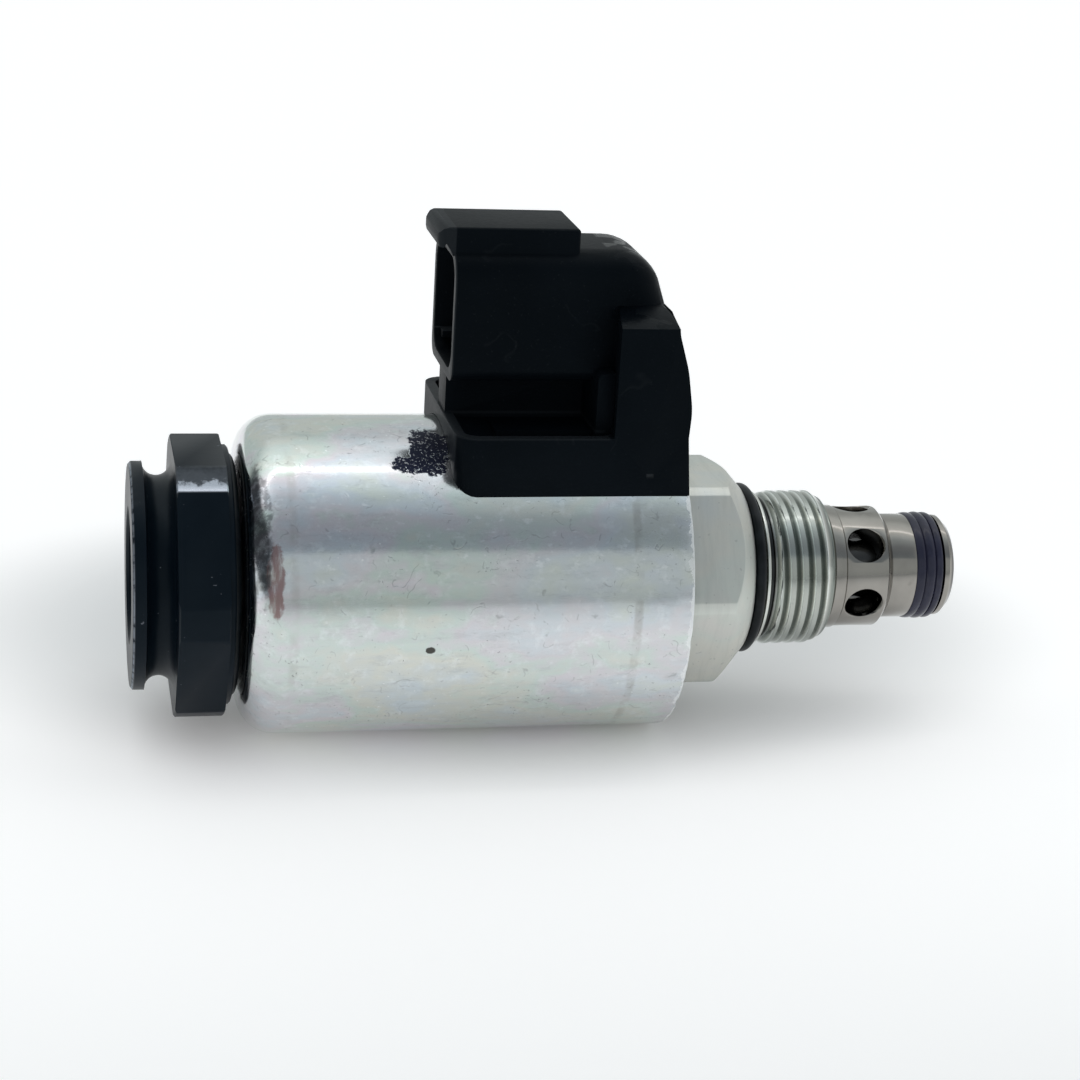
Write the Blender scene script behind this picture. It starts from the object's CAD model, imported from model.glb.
"""A screw-in solenoid cartridge valve, put together from its threaded body outwards.

Lengths are in millimetres along the valve's axis, which is world X, and are scaled to metres
where a mesh is made. The hexagon's sealing shoulder is at x = 0 and the nose points to +X.
"""
from math import cos, hypot, pi, radians, sin, sqrt

import bmesh
import bpy
from mathutils import Matrix, Vector, noise


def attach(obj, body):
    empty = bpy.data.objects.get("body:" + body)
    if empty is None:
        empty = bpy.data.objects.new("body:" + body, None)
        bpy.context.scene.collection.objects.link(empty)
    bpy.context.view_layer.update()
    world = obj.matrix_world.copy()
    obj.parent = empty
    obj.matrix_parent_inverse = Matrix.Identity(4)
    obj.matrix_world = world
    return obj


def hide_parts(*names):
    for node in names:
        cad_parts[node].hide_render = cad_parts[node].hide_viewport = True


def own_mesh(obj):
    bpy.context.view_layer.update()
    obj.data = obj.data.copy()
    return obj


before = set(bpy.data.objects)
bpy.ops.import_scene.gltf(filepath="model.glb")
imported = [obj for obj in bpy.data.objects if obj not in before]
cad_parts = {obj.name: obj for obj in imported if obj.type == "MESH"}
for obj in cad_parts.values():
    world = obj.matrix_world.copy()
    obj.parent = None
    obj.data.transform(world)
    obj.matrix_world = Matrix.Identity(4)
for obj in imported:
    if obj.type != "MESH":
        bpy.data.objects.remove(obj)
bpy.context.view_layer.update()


# ---------------------------------------------------------------- valve body
# Turned from bar steel, six flats milled on, the shank cut with a 7/8-14 thread and the
# whole piece plated with zinc. It screws into the manifold and holds the tube and the cage.

MM = 0.001
ROUND = 96                       # sides of a turned piece

SHOULDER_RADIUS = 12.58
HEX_ACROSS_FLATS = 29.4
HEX_BLANK_RADIUS = 16.55
HEX_REAR = -11.2
HEX_CHAMFER = -3.8
SHANK_END = 12.3
SHANK_RADIUS = 11.1
SHANK_PITCH = 1.814
THREAD_DEPTH = 0.75
THREAD_START = 3.5
THREAD_LEAD_IN = 0.5
THREAD_RUN_OUT = 1.1
ROOT_SHARE = 0.05                # of half a pitch; the flank follows, and the rest is crest
FLANK_SHARE = 0.58
FLANK_ROWS = 16                  # rows of faces in one pitch
SEAL_NECK = 10.3
UNDERCUT = 10.0
REAR_RECESS = 10.9
TUBE_BORE = 8.3
CORE_BORE = 5.5
CAGE_BORE = 7.9


class Value:
    """A shader socket that does maths: an expression on it adds Math nodes to its material."""

    def __init__(self, tree, socket=None):
        self.tree = tree
        self.socket = socket

    def node(self, kind, inputs=None, out=0, stops=None, **settings):
        made = self.tree.nodes.new(kind)
        for name, setting in settings.items():
            setattr(made, name, setting)
        if stops:
            ramp = made.color_ramp.elements
            while len(ramp) < len(stops):
                ramp.new(1.0)
            for element, (place, color) in zip(ramp, stops):
                element.position = place
                element.color = color if len(color) == 4 else (*color, 1.0)
        for name, value in (inputs or {}).items():
            if isinstance(value, Value):
                self.tree.links.new(value.socket, made.inputs[name])
            else:
                made.inputs[name].default_value = value
        return Value(self.tree, made.outputs[out])

    def math(self, operation, other=0.0):
        return self.node("ShaderNodeMath", {0: self, 1: other}, operation=operation)

    def __add__(self, other):
        return self.math("ADD", other)

    def __sub__(self, other):
        return self.math("SUBTRACT", other)

    def __mul__(self, other):
        return self.math("MULTIPLY", other)

    def __truediv__(self, other):
        return self.math("DIVIDE", other)

    def __rsub__(self, other):
        return self.node("ShaderNodeMath", {0: other, 1: self}, operation="SUBTRACT")

    __radd__ = __add__
    __rmul__ = __mul__

    def smooth(self, low, high):
        """0 below low, 1 above high, with a soft step between them."""
        return self.node("ShaderNodeMapRange", {0: self, 1: low, 2: high},
                         interpolation_type="SMOOTHSTEP")

    def near(self, place, inner, outer):
        """1 within inner of a place and 0 beyond outer."""
        return 1.0 - (self - place).math("ABSOLUTE").smooth(inner, outer)

    def speckle(self, scale, stretch=(1.0, 1.0, 1.0), detail=4.0, rough=0.6, shift=0.0):
        """Noise on these coordinates; scale is in features per metre."""
        moved = self.node("ShaderNodeMapping", {"Vector": self, "Scale": stretch,
                                                "Location": (shift, shift, shift)})
        return self.node("ShaderNodeTexNoise", {"Vector": moved, "Scale": scale,
                                                "Detail": detail, "Roughness": rough})

    def blend(self, low, high):
        """Mixes two colours, or a colour socket and a colour, by this value."""
        return self.node("ShaderNodeMix", {0: self, 6: low, 7: high}, out=2, data_type="RGBA")

    def split(self):
        return [self.node("ShaderNodeSeparateXYZ", {0: self}, out=i) for i in range(3)]


def finish(name, color, roughness, metallic=0.0, **constants):
    """A Principled material with its fixed values, and the object coordinates to build on."""
    material = bpy.data.materials.new(name)
    material.use_nodes = True
    tree = material.node_tree
    shader = tree.nodes["Principled BSDF"]
    fixed = {"Base Color": (*color, 1.0), "Roughness": roughness, "Metallic": metallic}
    fixed.update(constants)
    for socket, value in fixed.items():
        shader.inputs[socket].default_value = value
    coords = Value(tree).node("ShaderNodeTexCoord", out="Object")
    return material, coords


def drive(material, bump=None, bump_depth=0.00002, **sockets):
    """Link values to the shader's sockets, named with underscores for spaces."""
    tree = material.node_tree
    shader = tree.nodes["Principled BSDF"]
    for name, value in sockets.items():
        tree.links.new(value.socket, shader.inputs[name.replace("_", " ")])
    if bump:
        raised = bump.node("ShaderNodeBump", {"Height": bump, "Distance": bump_depth,
                                              "Strength": 1.0})
        tree.links.new(raised.socket, shader.inputs["Normal"])


def around(coords):
    """Place along the axis in mm, degrees above -Y round it, and radius in mm."""
    x, y, z = coords.split()
    radius = (y * y + z * z).math("SQRT") / MM
    degrees = z.math("ARCTAN2", y * -1.0) * (180 / pi)
    return x / MM, degrees, radius


def patch(x, degrees, place, size, ragged):
    """1 inside an oval at (x, degrees) of half its size, fading out along a ragged edge."""
    along = (x - place[0]) / size[0]
    across = (degrees - place[1]) / size[1]
    reach = (along * along + across * across).math("SQRT")
    return 1.0 - (reach + (ragged - 0.5) * 1.6).smooth(0.75, 1.05)


def hairs(coords, scale, width, share, shift):
    """Sparse hair-thin curved scratches: the level lines of a noise, kept only here and there."""
    line = coords.speckle(scale, detail=1.5, shift=shift).near(0.5, 0.0, width)
    kept = coords.speckle(scale * 1.3, detail=1.0, shift=shift + 4.0)
    return line * kept.smooth(1.0 - share, 1.03 - share)


def deselect():
    for obj in bpy.context.selected_objects:
        obj.select_set(False)


def activate(piece):
    deselect()
    piece.select_set(True)
    bpy.context.view_layer.objects.active = piece


def apply_modifiers(piece):
    activate(piece)
    for modifier in list(piece.modifiers):
        bpy.ops.object.modifier_apply(modifier=modifier.name)


def soften(piece, width, segments=2, angle=28):
    """Round every sharp edge, as tumbling and deburring leave it."""
    bevel = piece.modifiers.new("edges", "BEVEL")
    bevel.width = width * MM
    bevel.segments = segments
    bevel.limit_method = "ANGLE"
    bevel.angle_limit = radians(angle)
    apply_modifiers(piece)


def smooth(piece, angle=32):
    activate(piece)
    bpy.ops.object.shade_smooth_by_angle(angle=radians(angle))


def turn(name, profile, sides=ROUND, ring=True, caps=True):
    """Turn (x, radius) points about the axis: a circle, extruded and scaled step by step.

    A ring's last point meets its first one; otherwise the two ends are capped, or left open.
    """
    deselect()
    x, radius = profile[0]
    bpy.ops.mesh.primitive_circle_add(vertices=sides, radius=radius * MM,
                                      location=(x * MM, 0, 0), rotation=(0, pi / 2, 0))
    piece = bpy.context.object
    piece.name = name
    bpy.ops.object.transform_apply(location=True, rotation=True, scale=True)
    bpy.ops.object.mode_set(mode="EDIT")
    bpy.ops.mesh.select_all(action="SELECT")
    steps = profile[1:] + [profile[0]] if ring else profile[1:]
    for next_x, next_radius in steps:
        bpy.ops.mesh.extrude_region_move(
            TRANSFORM_OT_translate={"value": ((next_x - x) * MM, 0, 0)})
        grow = next_radius / radius
        bpy.ops.transform.resize(value=(1, grow, grow), center_override=(next_x * MM, 0, 0))
        x, radius = next_x, next_radius
    bpy.ops.mesh.select_all(action="SELECT")
    bpy.ops.mesh.remove_doubles(threshold=0.000001)
    if caps and not ring:
        bpy.ops.mesh.fill_holes(sides=0)
    bpy.ops.mesh.select_all(action="SELECT")
    bpy.ops.mesh.normals_make_consistent(inside=False)
    bpy.ops.object.mode_set(mode="OBJECT")
    return piece


def arc(center_x, center_radius, radius, start, end, count):
    """Points of a profile's arc; angles in degrees, from +X towards larger radii."""
    angles = [radians(start + (end - start) * i / count) for i in range(count + 1)]
    return [(center_x + radius * cos(a), center_radius + radius * sin(a)) for a in angles]


def cut(piece, tool, operation="DIFFERENCE"):
    """Cut a piece with a tool, or join the two, and remove the tool."""
    boolean = piece.modifiers.new("cut", "BOOLEAN")
    boolean.operation = operation
    boolean.solver = "EXACT"
    boolean.object = tool
    apply_modifiers(piece)
    bpy.data.objects.remove(tool, do_unlink=True)


def mill_flats(piece, across_flats, low_x, high_x, outside):
    """Mill six flats, two of them level, with a ring round a hexagonal hole as the tool."""
    corner = across_flats / sqrt(3)
    tool = turn("flat_mill", [(high_x, corner), (high_x, outside), (low_x, outside),
                              (low_x, corner)], sides=6)
    cut(piece, tool)


def rolled_thread(name, start, end, crest, root, pitch):
    """A helical thread: a sheet of rows rolled round the shank, climbing one pitch a turn."""
    rows = int((end - start) / pitch + 2) * FLANK_ROWS
    deselect()
    bpy.ops.mesh.primitive_grid_add(x_subdivisions=rows, y_subdivisions=ROUND, size=1.0)
    sheet = bpy.context.object
    sheet.name = name
    for vertex in sheet.data.vertices:
        turns = (vertex.co.x + 0.5) * rows / FLANK_ROWS
        share = vertex.co.y + 0.5
        x = min(max(start + (turns + share - 1.5) * pitch, start), end)
        phase = abs(turns % 1.0 - 0.5) * 2
        tooth = min(max((phase - ROOT_SHARE) / FLANK_SHARE, 0.0), 1.0)
        lead = max(min((x - start) / THREAD_LEAD_IN, (end - x) / THREAD_RUN_OUT, 1.0), 0.0)
        radius = min(root + (crest - root) * tooth, root + (crest - root) * lead)
        angle = 2 * pi * share
        vertex.co = (x * MM, radius * MM * sin(angle), -radius * MM * cos(angle))
    return sheet


def remove_faces(piece, unwanted):
    """Delete the faces whose middle, as (x, radius) in mm, is unwanted."""
    activate(piece)
    bpy.ops.object.mode_set(mode="EDIT")
    bpy.ops.mesh.select_all(action="DESELECT")
    shape = bmesh.from_edit_mesh(piece.data)
    for face in shape.faces:
        middle = face.calc_center_median() / MM
        face.select_set(unwanted(middle.x, hypot(middle.y, middle.z)))
    bmesh.update_edit_mesh(piece.data)
    bpy.ops.mesh.delete(type="FACE")
    bpy.ops.object.mode_set(mode="OBJECT")


def merge(piece, *others):
    """Join pieces into one mesh and close the seams between them."""
    deselect()
    for obj in (piece, *others):
        obj.select_set(True)
    bpy.context.view_layer.objects.active = piece
    bpy.ops.object.join()
    bpy.ops.object.mode_set(mode="EDIT")
    bpy.ops.mesh.select_all(action="SELECT")
    bpy.ops.mesh.remove_doubles(threshold=0.00001)
    bpy.ops.mesh.normals_make_consistent(inside=False)
    bpy.ops.object.mode_set(mode="OBJECT")
    return piece


def fit(piece, body, node, material):
    """The piece stands for a node of the frame, moves with a body and takes its material."""
    piece.data.materials.clear()
    piece.data.materials.append(material)
    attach(piece, body)
    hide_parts(node)


def hexagon_plating():
    """Bright zinc with a faint rainbow: fine milling marks across the flats, rubbed thread
    edges, and oil in the thread roots and the undercut."""
    material, coords = finish("zinc_turned", (0.62, 0.65, 0.63), 0.34, 1.0)
    x, _, radius = around(coords)
    cloud = coords.speckle(60, detail=3.0, shift=1.7)
    tint = cloud.node("ShaderNodeValToRGB", {0: cloud}, stops=[
        (0.30, (0.62, 0.65, 0.64)), (0.44, (0.67, 0.67, 0.62)), (0.54, (0.63, 0.66, 0.62)),
        (0.66, (0.66, 0.65, 0.62))])
    milled = coords.speckle(500, stretch=(1.2, 0.14, 0.14), detail=6.0, rough=0.75)
    grain = coords.speckle(1600, detail=3.0)
    on_thread = (x - THREAD_START).smooth(0.0, 0.3)
    oily = (11.0 - radius).smooth(0.0, 0.55) * on_thread * 0.75
    undercut = (x - 2.7).smooth(0.0, 0.1) * (1.0 - (x - 3.4).smooth(0.0, 0.5)) * 0.96
    color = (milled.smooth(0.42, 0.75) * 0.3).blend(tint, (0.45, 0.47, 0.45, 1.0))
    crest = (radius - 11.05).smooth(0.0, 0.03) * on_thread
    rubbed = (radius - 10.85).smooth(0.0, 0.1) * on_thread * (1.0 - crest)
    color = (crest * 0.6).blend(color, (0.30, 0.335, 0.31, 1.0))
    color = oily.blend(color, (0.12, 0.145, 0.13, 1.0))
    color = (rubbed * 0.8).blend(color, (0.82, 0.86, 0.83, 1.0))
    color = undercut.blend(color, (0.012, 0.014, 0.016, 1.0))
    specks = coords.speckle(1500, detail=1.0, shift=7.0).smooth(0.70, 0.74)
    drive(material, Base_Color=(specks * 0.3).blend(color, (0.30, 0.32, 0.31, 1.0)),
          Roughness=0.13 + (1.0 - (x + 1.5).smooth(0.0, 3.0)) * 0.30 + milled * 0.1,
          bump=milled + grain * 0.6, bump_depth=0.000005)
    return material


shank_root = SHANK_RADIUS - THREAD_DEPTH
thread_low, thread_high = THREAD_START + 0.3, SHANK_END - 0.3
body_steel = turn("hexagon_body", [
    (SHANK_END, shank_root), (thread_high, shank_root), (thread_low, shank_root),
    (THREAD_START, shank_root), (THREAD_START - 0.1, UNDERCUT), (2.75, UNDERCUT),
    (2.65, SHANK_RADIUS), (2.15, SHANK_RADIUS + 0.15), (2.0, SEAL_NECK), (0.0, SEAL_NECK),
    (0.0, SHOULDER_RADIUS - 0.25), (-0.25, SHOULDER_RADIUS), (HEX_CHAMFER, HEX_BLANK_RADIUS),
    (HEX_REAR + 0.5, HEX_BLANK_RADIUS), (HEX_REAR, HEX_BLANK_RADIUS - 0.5),
    (HEX_REAR, REAR_RECESS), (HEX_REAR + 1.7, REAR_RECESS), (HEX_REAR + 1.7, TUBE_BORE),
    (-1.7, TUBE_BORE), (-1.7, CORE_BORE), (1.5, CORE_BORE), (1.5, CAGE_BORE),
    (SHANK_END - 0.4, CAGE_BORE), (SHANK_END, CAGE_BORE + 0.4)])
mill_flats(body_steel, HEX_ACROSS_FLATS, HEX_REAR - 1, -0.5, outside=30)
soften(body_steel, 0.12)
remove_faces(body_steel, lambda x, radius: thread_low < x < thread_high and radius > 9)
thread = rolled_thread("shank_thread", thread_low, thread_high, SHANK_RADIUS, shank_root,
                       SHANK_PITCH)
merge(body_steel, thread)
smooth(body_steel)
fit(body_steel, "cartridge", "valve_body", hexagon_plating())


# ---------------------------------------------------------------- cage
# Hardened steel sleeve screwed into the body's end. Six cross ports are drilled through it and
# countersunk, and its nose is ground to size round the seal groove.

PORT_X = 17.75
PORT_RADIUS = 2.6
COUNTERSINK = PORT_RADIUS + 0.55
PORT_COUNT = 6
FIRST_PORT = -20                 # degrees above the near side
CAGE_RADIUS = 8.74
COLLAR_RADIUS = 8.95             # shoulder that meets the body
NOSE_RADIUS = 7.58
NOSE_END = 31.6
GROOVE_START = 25.6
GROOVE_END = 30.0
GROOVE_RADIUS = 6.1

cage = turn("port_cage", [
    (NOSE_END, NOSE_RADIUS - 1.1), (NOSE_END - 0.9, NOSE_RADIUS - 0.2),
    (GROOVE_END, NOSE_RADIUS - 0.2), (GROOVE_END, GROOVE_RADIUS),
    (GROOVE_START, GROOVE_RADIUS), (GROOVE_START, NOSE_RADIUS), (22.3, NOSE_RADIUS),
    (22.0, NOSE_RADIUS - 0.12), (21.9, NOSE_RADIUS + 0.1), (20.9, CAGE_RADIUS),
    (14.75, CAGE_RADIUS), (14.6, CAGE_RADIUS - 0.14), (14.5, COLLAR_RADIUS),
    (13.0, COLLAR_RADIUS), (12.75, COLLAR_RADIUS - 0.25), (12.6, 7.6), (1.8, 7.6), (1.8, 5.0),
    (30.0, 5.0), (30.0, 5.8), (31.1, 5.8), (31.1, 5.0), (NOSE_END, 5.3)])
for index in range(PORT_COUNT):
    drill = turn("port_drill", [(4.0, PORT_RADIUS), (8.33, PORT_RADIUS), (9.2, COUNTERSINK),
                                (12.0, COUNTERSINK)], sides=48, ring=False)
    elevation = radians(FIRST_PORT + 360 * index / PORT_COUNT)
    outward = Vector((0, -cos(elevation), sin(elevation)))
    drill.matrix_world = (Matrix.Translation((PORT_X * MM, 0, 0))
                          @ outward.to_track_quat("X", "Z").to_matrix().to_4x4())
    activate(drill)
    bpy.ops.object.transform_apply(location=True, rotation=True)
    cut(cage, drill)
soften(cage, 0.07)
smooth(cage)


def turned_steel(name, color, roughness, marks, dark_inside=0.0):
    """Bright machined steel with fine lines round the axis; oil darkens it inside a radius."""
    material, coords = finish(name, color, roughness, 1.0)
    lines = coords.speckle(700, stretch=(marks, 0.15, 0.15), detail=6.0, rough=0.75)
    smear = coords.speckle(140, detail=3.0, shift=0.9)
    stains = coords.speckle(420, detail=4.0, shift=2.2).smooth(0.62, 0.72)
    shade = (smear.smooth(0.3, 0.7) * 0.6 + stains * 0.4).blend(
        (*color, 1.0), tuple(c * 0.72 for c in color) + (1.0,))
    if dark_inside:
        radius = around(coords)[2]
        shade = (radius - dark_inside).smooth(-0.7, 0.0).blend(
            tuple(c * 0.1 for c in color) + (1.0,), shade)
    drive(material, Base_Color=shade, Roughness=roughness - 0.05 + lines * 0.1 + smear * 0.04,
          bump=lines, bump_depth=0.000003)
    return material


ground = turned_steel("ground_steel", (0.34, 0.325, 0.30), 0.11, 5.0, dark_inside=7.3)
fit(cage, "cartridge", "cage", ground)


# ---------------------------------------------------------------- seals
# The black seat O-ring under the hexagon, and the nose seal: an O-ring between two backup
# rings in a dark purple elastomer that is stretched into the cage's groove.

def moulded_rubber(name, color, roughness, bloom, gloss):
    """Moulded elastomer with a slight bloom and the faint orange-peel of the mould."""
    material, coords = finish(name, color, roughness, **{"Specular IOR Level": gloss})
    mottle = coords.speckle(400, detail=3.0)
    pale = tuple(min(c * bloom + 0.004, 1.0) for c in color) + (1.0,)
    drive(material, Base_Color=mottle.smooth(0.35, 0.75).blend((*color, 1.0), pale),
          Roughness=roughness - 0.07 + mottle * 0.16,
          bump=coords.speckle(1500, detail=2.0), bump_depth=0.000008)
    return material


def o_ring(name, center_x, center_radius, half_length, half_height):
    """An O-ring squeezed in its groove: a turned ring of oval section."""
    angles = [2 * pi * index / 20 for index in range(20)]
    return turn(name, [(center_x + half_length * cos(a), center_radius + half_height * sin(a))
                       for a in angles])


black_rubber = moulded_rubber("black_rubber", (0.006, 0.008, 0.010), 0.32, 1.8, 0.15)
seat_seal = o_ring("seat_seal", 1.02, 11.45, 0.78, 0.8)
smooth(seat_seal, 60)
fit(seat_seal, "cartridge", "seat_oring", black_rubber)

purple = moulded_rubber("purple_elastomer", (0.020, 0.021, 0.042), 0.16, 1.3, 0.3)
groove_middle = (GROOVE_START + GROOVE_END) / 2
nose_seal = o_ring("nose_seal", groove_middle, 7.12, 0.9, 0.72)
smooth(nose_seal, 60)
fit(nose_seal, "cartridge", "nose_oring", purple)
for node, side, far_x in (("backup_ring_rear", -1, GROOVE_START + 0.05),
                          ("backup_ring_front", 1, GROOVE_END - 0.4)):
    near_x = groove_middle + side * 0.78
    cupped_x = groove_middle + side * 0.95
    crown = [(near_x + (far_x - near_x) * (1 - cos(a)) / 2, 7.5 + 0.27 * sin(a)) for a in
             (radians(180 * i / 12) for i in range(13))]
    spare = turn(node.replace("backup", "support"), crown + [
        (far_x, 6.3), (cupped_x, 6.3), (cupped_x, 7.15)])
    smooth(spare, 50)
    fit(spare, "cartridge", node, purple)


# ---------------------------------------------------------------- spool
# Hardened and honed spool that shuts the cross ports at rest. It is hollow towards the nose,
# where its spring sits, and two cross drillings join its groove to the hollow.

hard = turned_steel("honed_steel", (0.085, 0.085, 0.085), 0.2, 8.0)


def close_holes(piece):
    """Merge doubled points, close open ends and turn the normals outwards."""
    activate(piece)
    bpy.ops.object.mode_set(mode="EDIT")
    bpy.ops.mesh.select_all(action="SELECT")
    bpy.ops.mesh.remove_doubles(threshold=0.00001)
    bpy.ops.mesh.fill_holes(sides=0)
    bpy.ops.mesh.normals_make_consistent(inside=False)
    bpy.ops.object.mode_set(mode="OBJECT")


spool = turn("flow_spool", [
    (24.3, 3.7), (24.3, 4.7), (24.1, 4.9), (14.7, 4.9), (14.7, 4.3), (9.6, 4.3), (9.6, 4.9),
    (7.2, 4.9), (7.2, 4.65), (6.8, 4.65), (6.8, 4.9), (5.6, 4.9), (5.6, 4.65), (5.2, 4.65),
    (5.2, 4.9), (3.2, 4.9), (3.0, 4.7), (3.0, 0.6)], ring=False, caps=False)
hollow = turn("spool_hollow", [(26.0, 3.6), (12.6, 3.6), (12.6, 2.4), (8.6, 2.4), (8.0, 0.6)],
              sides=48, ring=False)
close_holes(spool)
cut(spool, hollow)
for turned in (0, radians(90)):
    deselect()
    bpy.ops.mesh.primitive_cylinder_add(vertices=32, radius=1.1 * MM, depth=12 * MM,
                                        location=(11.2 * MM, 0, 0), rotation=(turned, 0, 0))
    cut(spool, bpy.context.object)
soften(spool, 0.06)
smooth(spool)
fit(spool, "spool", "spool", hard)


# ---------------------------------------------------------------- return spring and its seat
# Wound from drawn wire, between the spool and a drilled disc that a snap ring holds in the
# nose.

def wound_spring(name, start, end, radius, wire, turns):
    """A spring with closed ends: a sheet rolled into wire along a helix that is steeper in its
    middle."""
    deselect()
    bpy.ops.mesh.primitive_grid_add(x_subdivisions=turns * 40, y_subdivisions=14, size=1.0)
    coil = bpy.context.object
    coil.name = name
    for vertex in coil.data.vertices:
        share, round_wire = vertex.co.x + 0.5, 2 * pi * (vertex.co.y + 0.5)
        climb = share - 0.55 * sin(2 * pi * share) / (2 * pi)
        angle = 2 * pi * turns * share
        reach = radius + wire * cos(round_wire)
        vertex.co = Vector((start + (end - start) * climb + wire * sin(round_wire),
                            reach * cos(angle), reach * sin(angle))) * MM
    close_holes(coil)
    return coil


drawn_wire = turned_steel("drawn_wire", (0.42, 0.42, 0.43), 0.3, 1.0)
SPRING_START = 13.2
SPRING_END = 26.2
spring = wound_spring("spool_spring", SPRING_START, SPRING_END, radius=2.9, wire=0.38, turns=7)
smooth(spring, 60)
fit(spring, "cartridge", "return_spring", drawn_wire)
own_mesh(spring)

seat = turn("spring_seat_disc", [(29.7, 4.8), (26.9, 4.8), (26.9, 2.3), (29.2, 2.3), (29.7, 2.8)])
soften(seat, 0.15)
smooth(seat)
fit(seat, "cartridge", "spring_seat", hard)


def block(name, low, high):
    """A cube added between two corners."""
    deselect()
    low, high = Vector(low) * MM, Vector(high) * MM
    bpy.ops.mesh.primitive_cube_add(size=1.0, location=(low + high) / 2)
    piece = bpy.context.object
    piece.name = name
    piece.scale = high - low
    bpy.ops.object.transform_apply(location=True, rotation=True, scale=True)
    return piece


def snap_ring(name, low_x, high_x, inner, outer, gap, facing):
    """A stamped ring with a gap, up (1) or down (-1), so that it can be squeezed in."""
    piece = turn(name, [(high_x, outer), (low_x, outer), (low_x, inner), (high_x, inner)])
    low_z, high_z = sorted((0.0, facing * 2 * outer))
    cut(piece, block("gap_tool", (low_x - 0.35, -gap / 2, low_z), (high_x + 0.35, gap / 2, high_z)))
    soften(piece, 0.1)
    smooth(piece)
    return piece


seat_clip = snap_ring("seat_clip", 30.2, 30.9, inner=4.2, outer=5.5, gap=2.6, facing=-1)
fit(seat_clip, "cartridge", "seat_snap_ring", drawn_wire)


# ---------------------------------------------------------------- tube, pole piece and plug
# A thin stainless tube is welded round the soft-iron pole piece at the hexagon and round the
# end plug at the other end. The plug's stub is threaded for the coil nut.

tube_steel = turned_steel("tube_steel", (0.60, 0.59, 0.57), 0.24, 3.0)
TUBE_RADIUS = 8.0
TUBE_INSIDE = 7.4
tube = turn("core_tube", [(-6.0, TUBE_RADIUS), (-71.0, TUBE_RADIUS), (-71.3, TUBE_RADIUS - 0.2),
                          (-71.3, TUBE_INSIDE), (-6.0, TUBE_INSIDE)])
smooth(tube)
fit(tube, "cartridge", "armature_tube", tube_steel)

iron = turned_steel("soft_iron", (0.46, 0.46, 0.46), 0.32, 4.0)
pole = turn("fixed_pole", [
    (-2.0, 7.6), (-2.4, 8.0), (-3.1, 8.0), (-3.1, 6.7), (-4.7, 6.7), (-4.7, 8.0), (-5.7, 8.0),
    (-5.7, 7.1), (-35.9, 7.1), (-36.4, 6.6), (-36.4, 1.8), (-2.0, 1.8)])
soften(pole, 0.1)
smooth(pole)
fit(pole, "cartridge", "pole_piece", iron)
tube_seal = o_ring("tube_seal", -3.9, 7.5, 0.55, 0.5)
smooth(tube_seal, 60)
fit(tube_seal, "cartridge", "tube_oring", black_rubber)

PLUG_THREAD_RADIUS = 6.9
PLUG_THREAD_START = -73.5
PLUG_REAR = -84.6
NUT_PITCH = 1.5
plug_root = PLUG_THREAD_RADIUS - 0.85
plug = turn("threaded_plug", [
    (PLUG_THREAD_START, plug_root), (PLUG_REAR + 0.3, plug_root), (PLUG_REAR, plug_root - 0.3),
    (PLUG_REAR, 3.3), (PLUG_REAR + 0.2, 3.1), (-84.3, 3.1), (-84.3, 3.7),
    (-83.3, 3.7), (-83.3, 3.1), (-79.2, 3.1), (-79.2, 1.85), (-77.0, 1.85), (-77.0, 3.3),
    (-75.4, 3.3), (-75.4, 1.85), (-65.3, 1.85), (-65.3, 6.8), (-65.6, 7.1), (-71.6, 7.1),
    (-71.9, plug_root - 0.2), (-73.2, plug_root - 0.2), (-73.2, plug_root)])
remove_faces(plug, lambda x, radius: PLUG_REAR + 0.3 < x < PLUG_THREAD_START and radius > 5.5)
plug_thread = rolled_thread("plug_thread", PLUG_REAR + 0.3, PLUG_THREAD_START,
                            PLUG_THREAD_RADIUS, plug_root, NUT_PITCH)
merge(plug, plug_thread)
smooth(plug)
fit(plug, "cartridge", "end_plug", tube_steel)


# ---------------------------------------------------------------- armature
# The moving iron core, with a thin brass shim that stops it sticking to the pole piece and a
# hardened pin pressed through it that pushes the spool.

armature = turn("moving_core", [
    (-39.6, 6.6), (-40.0, 7.0), (-50.0, 7.0), (-50.3, 6.8), (-54.0, 6.8), (-54.3, 7.0),
    (-64.6, 7.0), (-65.0, 6.6), (-65.0, 1.7), (-39.6, 1.7)])
soften(armature, 0.1)
smooth(armature)
fit(armature, "armature", "armature", iron)

yellow_brass = turned_steel("turned_brass", (0.74, 0.56, 0.28), 0.22, 4.0)
shim = turn("core_shim", [(-38.9, 6.4), (-39.35, 6.4), (-39.35, 2.4), (-38.9, 2.4)])
soften(shim, 0.08)
smooth(shim)
fit(shim, "armature", "air_gap_shim", yellow_brass)

push_pin = turn("spool_pin", [(2.7, 1.2), (2.4, 1.5), (-62.7, 1.5), (-63.0, 1.2)], sides=48,
                ring=False)
soften(push_pin, 0.1)
smooth(push_pin)
fit(push_pin, "armature", "push_pin", hard)


# ---------------------------------------------------------------- manual override
# A brass pin in the middle of the end plug. Pushed by hand it moves the armature without
# power; an O-ring seals it and a snap ring keeps it in.

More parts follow.
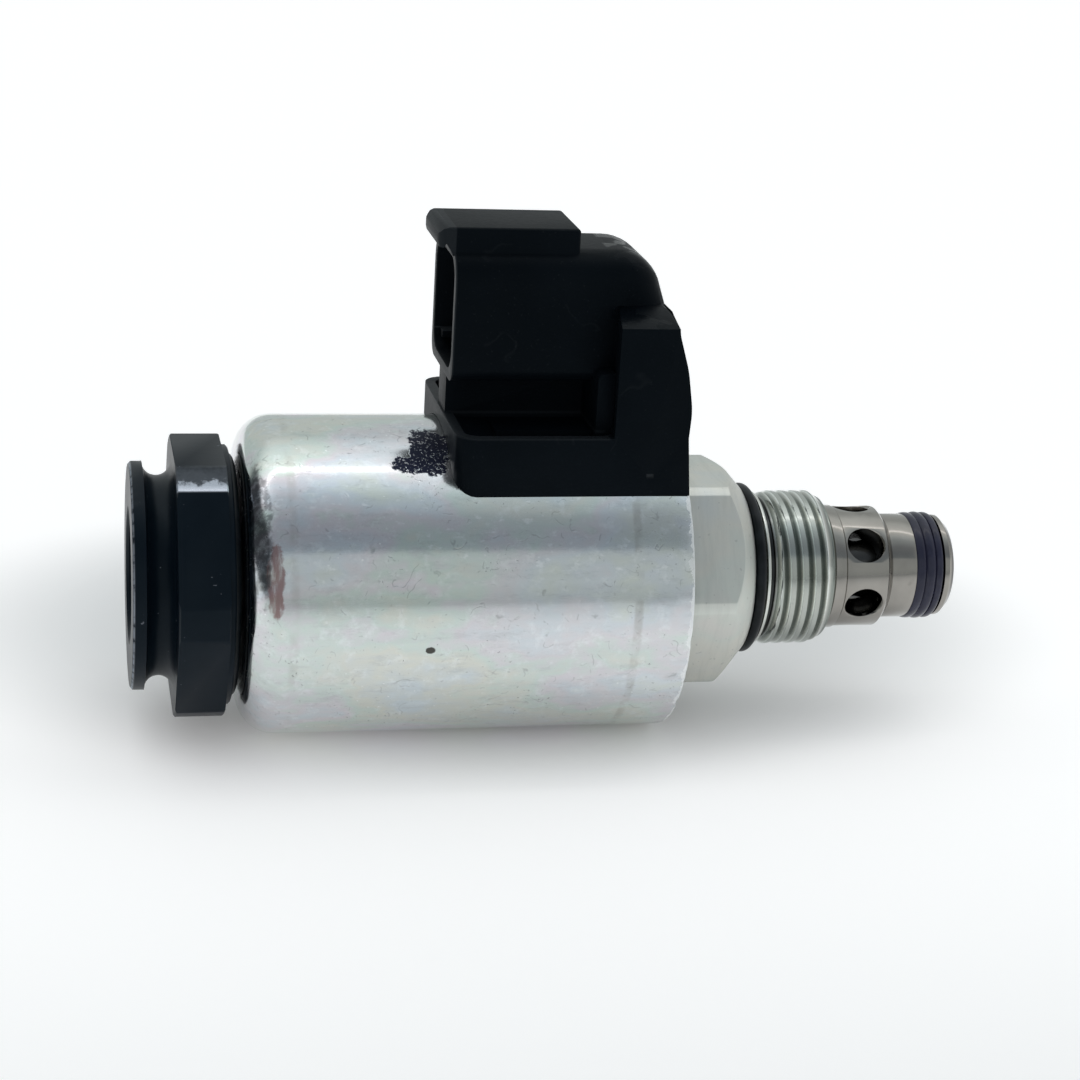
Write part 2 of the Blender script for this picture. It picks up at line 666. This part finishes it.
override = turn("override_button", [
    (-65.3, 1.4), (-65.5, 1.6), (-81.7, 1.6), (-81.7, 2.5), (-81.8, 2.6), (-83.1, 2.6),
    (-83.2, 2.5), (-83.2, 1.7), (-84.6, 1.7), (-84.9, 1.2)], sides=64, ring=False)
soften(override, 0.08)
smooth(override)
fit(override, "override", "override_pin", yellow_brass)
pin_seal = o_ring("pin_seal", -76.2, 2.4, 0.6, 0.65)
smooth(pin_seal, 60)
fit(pin_seal, "cartridge", "override_oring", black_rubber)
override_clip = snap_ring("override_clip", -84.15, -83.45, inner=2.0, outer=3.5, gap=1.6, facing=1)
fit(override_clip, "cartridge", "override_snap_ring", drawn_wire)


# ---------------------------------------------------------------- coil can
# Deep-drawn steel case with a rounded rear end, plated with zinc. Its open front end is cut
# off roughly, and a window in its top lets the moulding through.

CAN_RADIUS = 22.25
CAN_CORNER = 5.0
CAN_WALL = 2.0
CAN_REAR = -71.6
CAN_FLOOR = -69.3                # inner face of the closed rear end
CAN_FRONT = -11.6
CAN_SIDES = 160

corner_x = CAN_REAR + CAN_CORNER
corner_radius = CAN_RADIUS - CAN_CORNER
can = turn("coil_case", [
    (CAN_FRONT, CAN_RADIUS - 0.12), (CAN_FRONT - 0.25, CAN_RADIUS), (-19.4, CAN_RADIUS),
    (-19.6, CAN_RADIUS - 0.05), (-19.8, CAN_RADIUS), (-55.0, CAN_RADIUS)]
    + arc(corner_x, corner_radius, CAN_CORNER, 90, 180, 12)
    + [(CAN_REAR, 8.8), (CAN_REAR + 0.3, 8.4), (CAN_FLOOR, 8.4)]
    + arc(CAN_FLOOR + CAN_CORNER - CAN_WALL, corner_radius, CAN_CORNER - CAN_WALL, 180, 90, 6)
    + [(CAN_FRONT, CAN_RADIUS - CAN_WALL)], sides=CAN_SIDES)
cut(can, block("window_tool", (-38, -9.5, 12), (-16, 9.5, 26)))
for vertex in can.data.vertices:
    if vertex.co.x > (CAN_FRONT - 0.3) * MM:
        burr = noise.noise(vertex.co * 900) + 0.6 * noise.noise(vertex.co * 2600)
        vertex.co.x -= max(burr, 0) * 0.16 * MM
        outward = Vector((0, vertex.co.y, vertex.co.z)).normalized()
        vertex.co -= outward * abs(burr) * 0.07 * MM
smooth(can)


def case_plating():
    """Zinc plate on drawn steel, with rainbow clouds, scratches, a pit, a rust-brown tint and
    soot at the rear corner, and dark moulding flash beside the connector."""
    material, coords = finish("zinc_case", (0.64, 0.68, 0.68), 0.14, 1.0)
    x, degrees, _ = around(coords)
    cloud = coords.speckle(42, stretch=(1.0, 1.6, 1.6), detail=4.0, shift=0.4)
    tint = cloud.node("ShaderNodeValToRGB", {0: cloud}, stops=[
        (0.30, (0.60, 0.67, 0.71)), (0.40, (0.67, 0.68, 0.61)), (0.46, (0.60, 0.69, 0.64)),
        (0.52, (0.68, 0.64, 0.68)), (0.58, (0.62, 0.67, 0.73)), (0.66, (0.65, 0.69, 0.63)),
        (0.76, (0.63, 0.67, 0.69))])
    calm = coords.speckle(30, detail=2.0, shift=2.0).smooth(0.35, 0.6)
    color = (calm * 0.4).blend(tint, (0.63, 0.67, 0.67, 1.0))
    drawn = coords.speckle(160, stretch=(0.25, 2.0, 2.0), detail=6.0, rough=0.7, shift=6.0)
    color = (drawn.smooth(0.35, 0.75) * 0.28).blend(color, (0.50, 0.53, 0.54, 1.0))
    faint_rings = x.near(-19.3, 0.35, 0.8) + x.near(-65.6, 0.2, 0.9) * 0.6
    patchy = coords.speckle(180, detail=3.0, shift=8.0).smooth(0.38, 0.6)
    color = (faint_rings * patchy * 0.42).blend(color, (0.36, 0.345, 0.31, 1.0))
    grit = coords.speckle(1900, detail=2.0, shift=3.1)
    dark_specks = grit.smooth(0.66, 0.70) * coords.speckle(90, shift=3.6).smooth(0.45, 0.6)
    scratches = hairs(coords, 210, 0.012, 0.40, 1.0) + hairs(coords, 380, 0.02, 0.38, 2.0) * 0.8
    color = (dark_specks * 0.55 + scratches * 0.4).blend(color, (0.22, 0.23, 0.23, 1.0))
    mottle = coords.speckle(520, detail=4.0, rough=0.7, shift=7.7)
    worn = coords.speckle(340, stretch=(0.5, 1.5, 1.5), detail=7.0, rough=0.8, shift=5.5)
    color = (worn.smooth(0.52, 0.66) * 0.22).blend(color, (0.34, 0.36, 0.37, 1.0))
    color = (mottle.smooth(0.5, 0.72) * 0.3).blend(color, (0.86, 0.90, 0.92, 1.0))
    flecks = coords.speckle(1300, detail=1.0, shift=9.0).smooth(0.73, 0.76) * coords.speckle(
        60, shift=9.9).smooth(0.5, 0.6)
    side_band = (degrees - 12.0).smooth(0.0, 10.0) * (1.0 - (degrees - 44.0).smooth(0.0, 12.0))
    glints = coords.speckle(1000, stretch=(0.6, 1.0, 1.0), detail=3.0, shift=12.0)
    color = (glints.smooth(0.60, 0.72) * side_band * 0.35).blend(color, (0.92, 0.95, 0.97, 1.0))
    cut_edge = (x + 12.05 + (mottle - 0.5) * 2.6).smooth(0.0, 0.12)
    color = (flecks * 0.7 + cut_edge * 0.6).blend(color, (0.90, 0.92, 0.92, 1.0))
    ragged = coords.speckle(330, detail=5.0, rough=0.7, shift=5.0)
    streaks = coords.speckle(300, stretch=(2.5, 0.5, 0.5), detail=4.0, shift=6.5)
    rust = patch(x, degrees, (-68.0, 17.0), (1.15, 13.0), ragged) * streaks.smooth(0.26, 0.5)
    color = (rust * 0.75).blend(color, (0.20, 0.075, 0.07, 1.0))
    soot = patch(x, degrees, (-69.9, 36.0), (1.5, 28.0), ragged) * coords.speckle(
        900, detail=4.0, shift=2.6).smooth(0.36, 0.56)
    color = (soot * 0.6).blend(color, (0.06, 0.06, 0.065, 1.0))
    pit = patch(x, degrees, (-47.5, -8.0), (0.7, 1.3), ragged)
    color = (pit * 0.95).blend(color, (0.05, 0.045, 0.04, 1.0))
    flash = (patch(x, degrees, (-46.6, 68.0), (3.2, 13.0), ragged)
             + patch(x, degrees, (-49.2, 60.0), (3.0, 4.5), ragged)).smooth(0.2, 0.6)
    flash = flash * (1.0 - coords.speckle(2300, detail=2.0, shift=4.4).smooth(0.58, 0.66) * 0.75)
    color = (flash * 0.98).blend(color, (0.010, 0.013, 0.034, 1.0))
    pitted = coords.speckle(700, detail=5.0, rough=0.65)
    dull = dark_specks * 0.2 + flash * 0.3 + rust * 0.15 + cut_edge * 0.3
    drive(material, Base_Color=color, Roughness=0.075 + cloud * 0.06 + drawn * 0.07 + dull,
          bump=pitted * 0.8 + drawn * 1.3 - pit * 12.0 - scratches * 0.8 + flash * 3.0,
          bump_depth=0.000006)
    return material


fit(can, "coil", "coil_can", case_plating())


# ---------------------------------------------------------------- bobbin, winding and washer
# Inside the can: copper wire wound on a nylon bobbin, and the steel washer that closes the
# magnetic circuit at the open end, sealed to the hexagon by an O-ring.

nylon, coords = finish("natural_nylon", (0.62, 0.60, 0.52), 0.45)
flow = coords.speckle(120, detail=3.0)
drive(nylon, Base_Color=flow.blend((0.55, 0.53, 0.45, 1.0), (0.66, 0.64, 0.56, 1.0)),
      Roughness=0.38 + flow * 0.14, bump=coords.speckle(900), bump_depth=0.00001)
bobbin = turn("coil_bobbin", [
    (-14.9, 19.6), (-16.3, 19.6), (-16.3, 9.4), (-65.2, 9.4), (-65.2, 19.6), (-66.6, 19.6),
    (-66.6, 8.4), (-14.9, 8.4)])
soften(bobbin, 0.2)
smooth(bobbin)
fit(bobbin, "coil", "bobbin", nylon)

copper, coords = finish("enamelled_copper", (0.72, 0.33, 0.16), 0.3, 1.0)
WIRE_PITCH = 0.5
wraps = (around(coords)[0] * (2 * pi / WIRE_PITCH)).math("SINE")
age = coords.speckle(200)
drive(copper, Base_Color=age.blend((0.62, 0.26, 0.12, 1.0), (0.80, 0.40, 0.20, 1.0)),
      Roughness=0.25 + age * 0.12, bump=wraps, bump_depth=0.0001)
winding = turn("copper_winding", [(-16.6, 18.5), (-16.9, 18.8), (-64.6, 18.8), (-64.9, 18.5),
                                  (-64.9, 9.7), (-16.6, 9.7)])
smooth(winding)
fit(winding, "coil", "winding", copper)

washer = turn("flux_plate", [(-12.0, 19.8), (-12.2, 20.0), (-14.6, 20.0), (-14.6, 8.4),
                             (-12.0, 8.4)])
soften(washer, 0.15)
smooth(washer)
fit(washer, "coil", "flux_washer", iron)
coil_seal = o_ring("coil_seal", -10.7, 9.7, 0.7, 0.75)
smooth(coil_seal, 60)
fit(coil_seal, "coil", "coil_oring", black_rubber)


# ---------------------------------------------------------------- connector moulding
# Glass-filled black nylon moulded over the coil: a saddle on the can, an elbow up to the
# shroud of the two-pin socket, and the plate on top that the plug's latch snaps over.

BASE_REAR = -44.0
BASE_FRONT = -11.5
BASE_HALF_WIDTH = 15.4
BASE_RIM_Z = 24.2
ELBOW_REAR = -22.7
ELBOW_TOP = 39.3
SHROUD_HALF_WIDTH = 8.7
SHROUD_BOTTOM = 29.8
SHROUD_TOP = 47.7
SHROUD_WALL = 1.3
LATCH_REAR = -44.3
LATCH_HALF_WIDTH = 6.5
LATCH_CORNER = 1.9
GATE_X = -17.4                   # the mark where the nylon was fed in
GATE_Z = 18.95


def pick_edges(piece, wanted):
    """Select the edges whose two ends, in millimetres, satisfy wanted()."""
    activate(piece)
    bpy.ops.object.mode_set(mode="EDIT")
    bpy.ops.mesh.select_mode(type="EDGE")
    bpy.ops.mesh.select_all(action="DESELECT")
    shape = bmesh.from_edit_mesh(piece.data)
    for edge in shape.edges:
        if wanted(*[vertex.co / MM for vertex in edge.verts]):
            edge.select_set(True)
    bmesh.update_edit_mesh(piece.data)


def round_edges(piece, wanted, radius, segments=6):
    """Bevel the edges that wanted() picks to a radius."""
    pick_edges(piece, wanted)
    bpy.ops.mesh.bevel(offset=radius * MM, segments=segments, profile=0.5, affect="EDGES")
    bpy.ops.object.mode_set(mode="OBJECT")


def prism(name, outline, axis, low, high):
    """An outline extruded along an axis, 0, 1 or 2; its points are in the other two, in order."""
    deselect()
    bpy.ops.mesh.primitive_circle_add(vertices=len(outline), radius=1.0, fill_type="NGON")
    piece = bpy.context.object
    piece.name = name
    for vertex, point in zip(piece.data.vertices, outline):
        place = list(point)
        place.insert(axis, low)
        vertex.co = Vector(place) * MM
    travel = [0.0, 0.0, 0.0]
    travel[axis] = (high - low) * MM
    bpy.ops.object.mode_set(mode="EDIT")
    bpy.ops.mesh.select_all(action="SELECT")
    bpy.ops.mesh.extrude_region_move(TRANSFORM_OT_translate={"value": travel})
    bpy.ops.mesh.select_all(action="SELECT")
    bpy.ops.mesh.normals_make_consistent(inside=False)
    bpy.ops.object.mode_set(mode="OBJECT")
    return piece


def axial_rod(name, radius):
    """A rod on the valve's axis, longer than the moulding."""
    return turn(name, [(-60, radius), (0, radius)], sides=CAN_SIDES, ring=False)


def plate_outline(name, outline, half_width):
    return prism(name, outline, 1, -half_width, half_width)


INNER_TOP = ELBOW_TOP + 1.5
moulding = plate_outline("socket_moulding", [
    (BASE_REAR, 14.0), (BASE_REAR, BASE_RIM_Z), (ELBOW_REAR, BASE_RIM_Z), (ELBOW_REAR, INNER_TOP),
    (-14.6, INNER_TOP), (-14.9, ELBOW_TOP), (-13.1, 33.5), (-12.2, 28.0), (-12.4, BASE_RIM_Z),
    (BASE_FRONT, 14.0)], BASE_HALF_WIDTH)
round_edges(moulding, lambda a, b: max(a.x, b.x) < BASE_REAR + 0.1 and abs(a.y - b.y) < 0.1, 3.0)
round_edges(moulding, lambda a, b: (min(a.z, b.z) > 27 and abs(a.y - b.y) > 1
                                    and max(a.x, b.x) > -15), 1.2)
for side in (-1, 1):
    cut(moulding, prism("slope_tool", [(side * 8.5, INNER_TOP + 0.05), (side * 15.5, ELBOW_TOP),
                                       (side * 17.0, ELBOW_TOP), (side * 17.0, 45.0),
                                       (side * 8.5, 45.0)], 0, -30.0, -8.0))
    cut(moulding, prism("taper_tool", [(ELBOW_REAR, side * 15.6), (-21.7, side * 8.7),
                                       (-21.7, side * 8.0), (-30.0, side * 8.0),
                                       (-30.0, side * 15.6)], 2, BASE_RIM_Z + 0.6, 46.0))
tray = block("tray_tool", (BASE_REAR + 1.4, -14.0, 12.0), (ELBOW_REAR + 0.2, 14.0, 27.0))
round_edges(tray, lambda a, b: abs(a.z - b.z) > 1, 1.8)
cut(tray, axial_rod("tray_floor_tool", 23.7))
cut(moulding, tray)
cut(moulding, block("web", (BASE_REAR + 0.3, -2.75, 20.0), (-22.2, 2.75, 31.0)), "UNION")
pillar = block("pillar", (-24.6, -12.0, 15.0), (-22.2, 12.0, 32.2))
round_edges(pillar, lambda a, b: (min(a.z, b.z) > 32 and abs(a.y - b.y) > 1
                                  and max(a.x, b.x) < -24), 0.9)
cut(moulding, pillar, "UNION")
cut(moulding, axial_rod("can_tool", CAN_RADIUS + 0.05))
cut(moulding, block("leg", (-37.7, -9.2, 19.9), (-16.3, 9.2, 23.4)), "UNION")

bend = [(-21.5 + 6.4 * sin(a), SHROUD_TOP - 6.4 * (1 - cos(a))) for a in
        (radians(66 * i / 8) for i in range(9))]
shroud = plate_outline("shroud", [(BASE_REAR, SHROUD_BOTTOM), (BASE_REAR, SHROUD_TOP)] + bend
                       + [(-14.5, 40.4), (-15.5, 36.0), (-15.5, SHROUD_BOTTOM)], SHROUD_HALF_WIDTH)
round_edges(shroud, lambda a, b: abs(a.y - b.y) < 0.1 and min(a.z, b.z) > 39.9, 4.2, 8)
round_edges(shroud, lambda a, b: (abs(a.y - b.y) < 0.1 and max(a.z, b.z) < 30
                                  and abs(a.x - b.x) > 5), 2.2)
cut(moulding, shroud, "UNION")
latch = plate_outline("latch", [
    (-45.9, 47.8), (-46.2, 48.7), (-46.1, 49.6), (-45.5, 50.3), (-44.7, 50.6), (-26.9, 50.6),
    (-26.9, 46.8), (-44.2, 46.8), (-44.6, 47.6), (-45.1, 48.4), (-45.4, 47.8)], LATCH_HALF_WIDTH)
round_edges(latch, lambda a, b: (min(a.z, b.z) > 50.5
                                 and (abs(a.x - b.x) > 5 or max(a.x, b.x) > -27)
                                 or min(a.x, b.x) > -27 and abs(a.z - b.z) > 2), 0.55, 4)
corner = [(LATCH_REAR - LATCH_CORNER * sin(a), LATCH_HALF_WIDTH - LATCH_CORNER * (1 - cos(a)))
          for a in (radians(15 * i) for i in range(7))]
near_half = [(-25.0, 6.6), (LATCH_REAR, 6.6)] + corner
far_half = [(x, -y) for x, y in reversed(near_half)]
cut(latch, prism("latch_plan", near_half + far_half, 2, 45.0, 52.0), "INTERSECT")
cut(moulding, latch, "UNION")
inner_half_width = SHROUD_HALF_WIDTH - SHROUD_WALL
socket = block("socket_tool",
               (BASE_REAR - 2.0, -inner_half_width, SHROUD_BOTTOM + SHROUD_WALL),
               (BASE_REAR + 18.0, inner_half_width, SHROUD_TOP - SHROUD_WALL))
round_edges(socket, lambda a, b: abs(a.x - b.x) > 1, 2.9, 8)
cut(moulding, socket)
key = block("socket_key", (BASE_REAR + 0.9, 5.4, 32.6), (BASE_REAR + 17.5, 7.6, 33.6))
cut(moulding, key, "UNION")
cut(moulding, block("gate_mark", (GATE_X - 0.5, -15.6, GATE_Z - 0.25),
                    (GATE_X + 0.5, -15.25, GATE_Z + 0.25)))
TERMINAL_Y = 2.85
TERMINAL_Z = 38.6
for y in (-TERMINAL_Y, TERMINAL_Y):
    cut(moulding, block("pin_tool", (-27.0, y - 0.85, TERMINAL_Z - 0.85),
                        (-16.95, y + 0.85, TERMINAL_Z + 0.85)))
    cut(moulding, block("tail_tool", (-19.05, y - 1.05, 18.6), (-16.95, y + 1.05, TERMINAL_Z)))
soften(moulding, 0.22, segments=3, angle=35)
smooth(moulding, 40)

plastic, coords = finish("black_nylon", (0.0022, 0.0036, 0.0055), 0.4, **{
    "Specular IOR Level": 0.06, "Specular Tint": (0.72, 0.88, 1.0, 1.0)})
x, y, z = (axis / MM for axis in coords.split())
peel = coords.speckle(1300, detail=3.0)
drift = coords.speckle(60, detail=3.0, shift=1.1)
glass = coords.speckle(2600, detail=1.0, shift=2.0).smooth(0.70, 0.75)
splashes = coords.speckle(210, detail=2.0, shift=4.0).smooth(0.50, 0.53)
oily = (z - 38.9).smooth(0.0, 0.2) * (x + 23.0).smooth(0.0, 0.5) * splashes
scuffs = hairs(coords, 110, 0.012, 0.40, 3.0)
gate = x.near(GATE_X, 0.4, 0.6) * z.near(GATE_Z, 0.2, 0.35) * (-15.0 - y).smooth(0.0, 0.1)
rear_rim = (-43.75 - x).smooth(0.0, 0.15)
tray_rim = z.near(BASE_RIM_Z, 0.1, 0.3) * (-23.0 - x).smooth(0.0, 0.5)
key_edge = z.near(33.6, 0.05, 0.15) * (y - 5.3).smooth(0.0, 0.1) * (8.0 - y).smooth(0.0, 0.1)
rubbed = rear_rim * 0.5 + tray_rim * 0.35 + key_edge * 0.8
color = drift.smooth(0.3, 0.7).blend((0.0016, 0.0028, 0.0044, 1.0), (0.0028, 0.0046, 0.0068, 1.0))
color = (glass * 0.2 + scuffs * 0.10 + gate * 0.9 + rubbed).blend(color, (0.030, 0.034, 0.038, 1.0))
drive(plastic, Base_Color=color, Roughness=0.36 + drift * 0.12 + peel * 0.08 - oily * 0.22,
      bump=peel + scuffs * 0.5 - oily * 0.3, bump_depth=0.00003)
fit(moulding, "coil", "coil_moulding", plastic)


# ---------------------------------------------------------------- contacts
# Two tin-plated brass pins with rounded tips. Each is bent down through the elbow towards the
# winding and is held by the nylon moulded round it.

tin = turned_steel("tin_plate", (0.72, 0.70, 0.66), 0.25, 2.0)
for node, y in (("terminal_near", -TERMINAL_Y), ("terminal_far", TERMINAL_Y)):
    pin = turn(node.replace("terminal", "contact"), [
        (-17.3, 0.75), (-39.9, 0.75), (-40.3, 0.6), (-40.5, 0.3)], sides=32, ring=False)
    pin.location = (0, y * MM, TERMINAL_Z * MM)
    activate(pin)
    bpy.ops.object.transform_apply(location=True)
    tail = block("tail", (-18.7, y - 0.7, 20.0), (-17.3, y + 0.7, TERMINAL_Z + 0.7))
    cut(pin, tail, "UNION")
    soften(pin, 0.08)
    smooth(pin)
    fit(pin, "coil", node, tin)


# ---------------------------------------------------------------- coil nut
# Turned from bar and blackened: a rim with a grip groove, six flats and a collar. An O-ring in
# its face keeps water out of the coil.

NUT_FLATS = 36.0
NUT_BLANK = 19.6
NUT_RIM = 15.75
NUT_REAR = -86.2
GRIP_X = -82.4                   # middle of the round grip groove
GRIP_RADIUS = 2.0

nut = turn("grip_nut", [
    (-71.9, 14.1), (-72.1, 14.3), (-73.9, 14.3), (-73.9, 17.3), (-72.8, 17.3), (-72.8, 17.8),
    (-73.0, 18.0), (-73.6, 18.0), (-73.6, 19.4), (-73.8, NUT_BLANK), (-80.2, NUT_BLANK),
    (-80.4, 19.3), (-80.4, NUT_RIM + 0.3)]
    + arc(GRIP_X, 15.8, GRIP_RADIUS, 0, -180, 16)
    + [(-84.5, NUT_RIM), (-85.85, NUT_RIM), (NUT_REAR, NUT_RIM - 0.4), (NUT_REAR, 9.6),
       (-85.8, 9.2), (-84.2, 9.2), (-84.2, 7.6), (-83.8, 7.2), (-73.8, 7.2), (-73.8, 8.6),
       (-71.9, 8.6)], sides=120)
mill_flats(nut, NUT_FLATS, -80.8, -73.5, outside=30)
soften(nut, 0.15)
smooth(nut)

blackened, coords = finish("black_oxide", (0.003, 0.007, 0.012), 0.3, **{
    "Specular IOR Level": 0.12, "Specular Tint": (0.75, 0.9, 1.0, 1.0)})
x, degrees, radius = around(coords)
fine = coords.speckle(1100, stretch=(0.5, 1, 1), detail=5.0)
tone = coords.speckle(90, detail=4.0)
chips = coords.speckle(620, detail=5.0, rough=0.75, shift=3.0)
on_corner = (radius - 19.15).smooth(0.0, 0.2) * (degrees - 53.5).smooth(0.0, 1.2)
ragged_line = degrees + (chips - 0.5) * 14.0
worn_corner = on_corner * ((59.5 - ragged_line).smooth(0.0, 2.5) * 0.7
                           + (72.0 - ragged_line).smooth(0.0, 12.0) * 0.12)
worn_rim = ((-85.95 - x).smooth(-0.1, 0.1) * (radius - 15.3).smooth(0.0, 0.2)
            * fine.smooth(0.3, 0.55))
dust = coords.speckle(1300, detail=1.0, shift=5.0).smooth(0.77, 0.80)
bare = worn_corner + worn_rim * 0.4 + dust * 0.2
bare = bare.math("MINIMUM", 1.0)
color = tone.smooth(0.3, 0.7).blend((0.0026, 0.0060, 0.0105, 1.0), (0.0045, 0.0088, 0.0140, 1.0))
drive(blackened, Base_Color=bare.blend(color, (0.56, 0.60, 0.68, 1.0)), Metallic=bare,
      Roughness=0.26 + tone * 0.1 + fine * 0.06 - worn_corner * 0.1,
      bump=fine - bare * 2.0, bump_depth=0.000008)
fit(nut, "nut", "coil_nut", blackened)

nut_seal = o_ring("nut_seal", -72.75, 15.8, 0.8, 1.1)
smooth(nut_seal, 60)
fit(nut_seal, "nut_ring", "nut_oring", black_rubber)


# ---------------------------------------------------------------- table, light and camera
# The valve lies on a pale table that glows except under the valve. A soft sky with one
# brighter strip and a dark wall on the left light it; there are no lamps.

LENS_LENGTH = 80.017
CAMERA_PLACE = (-0.09849, -0.31407, 0.11623)
AZIMUTH, ELEVATION, ROLL = -12.542, 19.153, 3.540
FRONT_EDGE = -0.285              # the table's glow ends here, in metres
UNDER_MIDDLE = (-0.028, 0.038)
UNDER_SIZE = (0.080, 0.054)

deselect()
bpy.ops.mesh.primitive_plane_add(size=6.0, location=(0, 0, -(CAN_RADIUS + 0.05) * MM))
table = bpy.context.object
table.name = "table"
paper, coords = finish("pale_table", (0.84, 0.84, 0.84), 0.7)
drift = coords.speckle(30)
across, along, _ = coords.split()
front_edge = (along - FRONT_EDGE).smooth(-0.006, 0.006)
under_x, under_y = ((place - middle) / size for place, middle, size in
                    zip((across, along), UNDER_MIDDLE, UNDER_SIZE))
under = under_x * under_x + under_y * under_y
lit = (front_edge * 0.3 + (along + 0.20).smooth(0.0, 0.17) * 0.7) * under.smooth(0.25, 1.5)
drive(paper, Base_Color=front_edge.blend((0.66, 0.66, 0.66, 1.0), (0.84, 0.84, 0.84, 1.0)),
      Roughness=0.65 + drift * 0.1,
      Emission_Color=lit.blend((0.0, 0.0, 0.0, 1.0), (0.40, 0.392, 0.39, 1.0)))
paper.node_tree.nodes["Principled BSDF"].inputs["Emission Strength"].default_value = 1.0
table.data.materials.append(paper)

world = bpy.data.worlds.new("studio")
bpy.context.scene.world = world
world.use_nodes = True
sky = Value(world.node_tree)
toward_x, toward_y, toward_z = sky.node("ShaderNodeTexCoord", out="Generated").split()
arch = toward_z.math("ARCTAN2", toward_y * -1.0) / pi
room = arch.node("ShaderNodeValToRGB", {0: arch}, stops=[
    (0.0, (0.49, 0.52, 0.52)), (0.06, (0.57, 0.60, 0.60)),
    (0.186, (0.56, 0.59, 0.60)), (0.194, (0.29, 0.33, 0.36)),
    (0.26, (0.29, 0.32, 0.35)), (0.33, (0.36, 0.39, 0.42)), (0.38, (0.50, 0.55, 0.58)),
    (0.42, (0.58, 0.64, 0.67)), (0.47, (0.88, 0.95, 0.98)), (0.515, (1.10, 1.13, 1.13)),
    (0.533, (1.18, 1.20, 1.20)), (0.540, (2.6, 2.6, 2.6)), (0.552, (2.6, 2.6, 2.6)),
    (0.560, (1.25, 1.27, 1.27)), (0.62, (1.10, 1.14, 1.14)), (0.67, (0.98, 1.03, 1.03)),
    (0.75, (0.66, 0.70, 0.70)), (1.0, (0.56, 0.60, 0.60))])
left_wall = (toward_x * -1.0).smooth(0.66, 0.78) * (1.0 - toward_z.smooth(0.5, 0.7))
right_wall = toward_x.smooth(0.55, 0.8)
light = right_wall.blend(left_wall.blend(room, (0.09, 0.10, 0.11, 1.0)), (0.60, 0.62, 0.63, 1.0))
background = world.node_tree.nodes["Background"]
world.node_tree.links.new(light.socket, background.inputs["Color"])

lens = bpy.data.cameras.new("camera")
lens.sensor_width = 36.0
lens.lens = LENS_LENGTH
camera = bpy.data.objects.new("camera", lens)
bpy.context.scene.collection.objects.link(camera)
camera.location = CAMERA_PLACE
camera.rotation_euler = (Matrix.Rotation(radians(AZIMUTH), 3, "Z")
                         @ Matrix.Rotation(radians(90 - ELEVATION), 3, "X")
                         @ Matrix.Rotation(radians(ROLL), 3, "Z")).to_euler()
bpy.context.scene.camera = camera
bpy.context.scene.view_settings.view_transform = "Standard"
